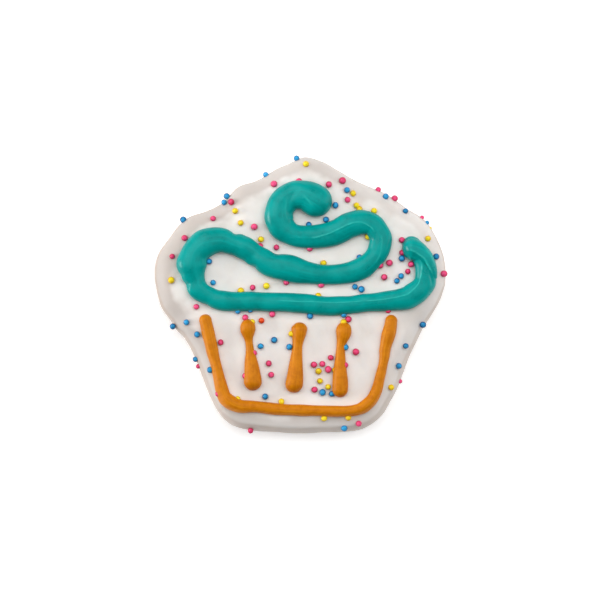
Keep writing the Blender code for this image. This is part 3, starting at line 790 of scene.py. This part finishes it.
def candy_shell(name, deep, bright):
    """Nonpareil: a sugar ball tumbled in coloured syrup, then polished.

    It gives a small glossy ball with painted light and shade, paler on its crown and deeper round
    its sides, and no two quite alike.
    """
    material, tree, surface = new_material(name)
    place = object_place(tree)
    batch = mesh_layer(tree, "batch").outputs["Vector"]
    drawn = node(tree, "ShaderNodeSeparateXYZ", (("Vector", batch),))
    syrup = noise(tree, place, 0.8 * MM)
    own = calculate(tree, "MULTIPLY_ADD", drawn.outputs["X"], 0.4, syrup)
    # Painted light and shade: paler on the crown and deeper round the sides, by height on the ball
    light_and_tone = calculate(tree, "MULTIPLY_ADD", drawn.outputs["Z"], 1.1, own)
    painted_light_share = ramp(tree, light_and_tone, (1.0, 1.85))
    colour = blend(tree, painted_light_share, linear(deep), linear(bright))
    pits = bump(tree, syrup, 0.4, 0.03 * MM)
    feed(tree, surface, (
        ("Base Color", colour), ("Normal", pits), ("IOR", 1.5), ("Roughness", 0.28),
        ("Specular IOR Level", 0.3), ("Subsurface Weight", 0.2),
        ("Subsurface Radius", (1.0, 0.8, 0.7)), ("Subsurface Scale", 0.4 * MM),
    ))
    return material


def opal_acrylic():
    """Opal acrylic: a milky cast sheet, matte on top and lit a little from below.

    It gives an even white ground on which shadows are pale.
    """
    material, tree, surface = new_material("matte opal acrylic")
    fibre = noise(tree, object_place(tree), 3 * MM)
    colour = blend(tree, fibre, linear("FBFBFB"), linear("FEFEFE"))
    feed(tree, surface, (
        ("Base Color", colour), ("Roughness", 0.9), ("Specular IOR Level", 0.0),
        ("Emission Color", linear("FFFFFF")), ("Emission Strength", TABLE_GLOW),
    ))
    return material


def softbox(name, azimuth, elevation, width, height, power):
    """An area light that looks at the biscuit from an azimuth and an elevation in degrees."""
    azimuth, elevation = math.radians(azimuth), math.radians(elevation)
    out = Vector((math.cos(elevation) * math.cos(azimuth),
                  math.cos(elevation) * math.sin(azimuth), math.sin(elevation)))
    lamp = bpy.data.lights.new(name, "AREA")
    lamp.shape = "RECTANGLE"
    lamp.size = width
    lamp.size_y = height
    lamp.energy = power
    light = bpy.data.objects.new(name, lamp)
    light.location = SOFTBOX_DISTANCE * out
    light.rotation_euler = (-out).to_track_quat("-Z", "Y").to_euler()
    bpy.context.scene.collection.objects.link(light)
    return light


def studio():
    """White table under the biscuit, softboxes round it and a faint even fill."""
    top = bpy.data.meshes.new("table")
    corners = [(TABLE_HALF * x, TABLE_HALF * y, 0) for x, y in ((-1, -1), (1, -1), (1, 1), (-1, 1))]
    top.from_pydata(corners, [], [(0, 1, 2, 3)])
    top.materials.append(opal_acrylic())
    floor = bpy.data.objects.new("table", top)
    bpy.context.scene.collection.objects.link(floor)
    for lamp in SOFTBOXES:
        softbox(*lamp)
    # Cross-polarised scrims even the light but leave no shine on the icing
    for lamp in SCRIMS:
        softbox(*lamp).visible_glossy = False
    world = bpy.data.worlds.new("studio")
    world.use_nodes = True
    fill = world.node_tree.nodes["Background"]
    fill.inputs["Color"].default_value = (1.0, 1.0, 1.0, 1.0)
    fill.inputs["Strength"].default_value = ROOM_FILL
    bpy.context.scene.world = world
    bpy.context.scene.view_settings.view_transform = "Standard"


def camera():
    """Looks nearly straight down, from a little in front of the biscuit's lower edge."""
    lens = bpy.data.cameras.new("camera")
    lens.lens = CAMERA_LENS
    lens.sensor_width = CAMERA_SENSOR
    view = bpy.data.objects.new("camera", lens)
    back = Vector((0.0, -math.cos(CAMERA_ELEVATION), math.sin(CAMERA_ELEVATION)))
    view.location = Vector(CAMERA_TARGET) + CAMERA_DISTANCE * back
    view.rotation_euler = (-back).to_track_quat("-Z", "Y").to_euler()
    bpy.context.scene.collection.objects.link(view)
    bpy.context.scene.camera = view


def biscuit():
    """Every piece of the biscuit, each in the place of the solid that it stands for."""
    teal = piped_icing("teal piped icing", TEAL_TONES, roughness=0.28, specular=0.22,
                       streak_width=0.9 * MM, mottle_size=5.0 * MM)
    caramel = piped_icing("peanut butter piped icing", CARAMEL_TONES, roughness=0.42,
                          specular=0.20, streak_width=0.7 * MM, mottle_size=1.8 * MM)
    coat = piece("yogurt_coat", *skin(coat_rings()), yogurt_coating(), "yogurt_coating")
    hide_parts("coated_biscuit")
    swirl = piped_line("teal_swirl", SWIRL, SWIRL_RISE, teal, "teal_icing", SWIRL_SEED,
                       SWIRL_BUMPS, SWIRL_CREASES)
    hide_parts("icing_swirl")
    piped_line("teal_swirl_tail", SWIRL_TAIL, SWIRL_RISE, teal, "teal_icing", TAIL_SEED,
               creases=TAIL_CREASES, lifts=TAIL_LIFTS)
    wrapper = piped_line("caramel_wrapper", WRAPPER, CARAMEL_RISE, caramel, "caramel_icing",
                         WRAPPER_SEED, WRAPPER_BUMPS)
    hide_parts("wrapper_outline")
    for number, route in enumerate(PLEATS, start=1):
        pleat = piped_line(f"caramel_pleat_{number}", route, CARAMEL_RISE, caramel,
                           "caramel_icing", WRAPPER_SEED + number)
        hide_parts(f"pleat_{number}")
    places = free_beads()
    for letter, spots in TUCKED_BEADS.items():
        places += [(x * MM, y * MM, BEAD_RADIUS, letter) for x, y in spots]
    for letter, direction, radius in RIM_BEADS:
        angle = math.radians(direction)
        reach = rim_radius(angle) - RIM_INSET
        places.append((reach * math.cos(angle), reach * math.sin(angle), radius * MM, letter))
    for colour, (letter, deep, bright) in SHELLS.items():
        shell = candy_shell(f"{colour} nonpareil", deep, bright)
        bead_colour(f"sprinkles_{colour}", letter, places, shell, f"{colour}_sugar")


biscuit()
studio()
camera()
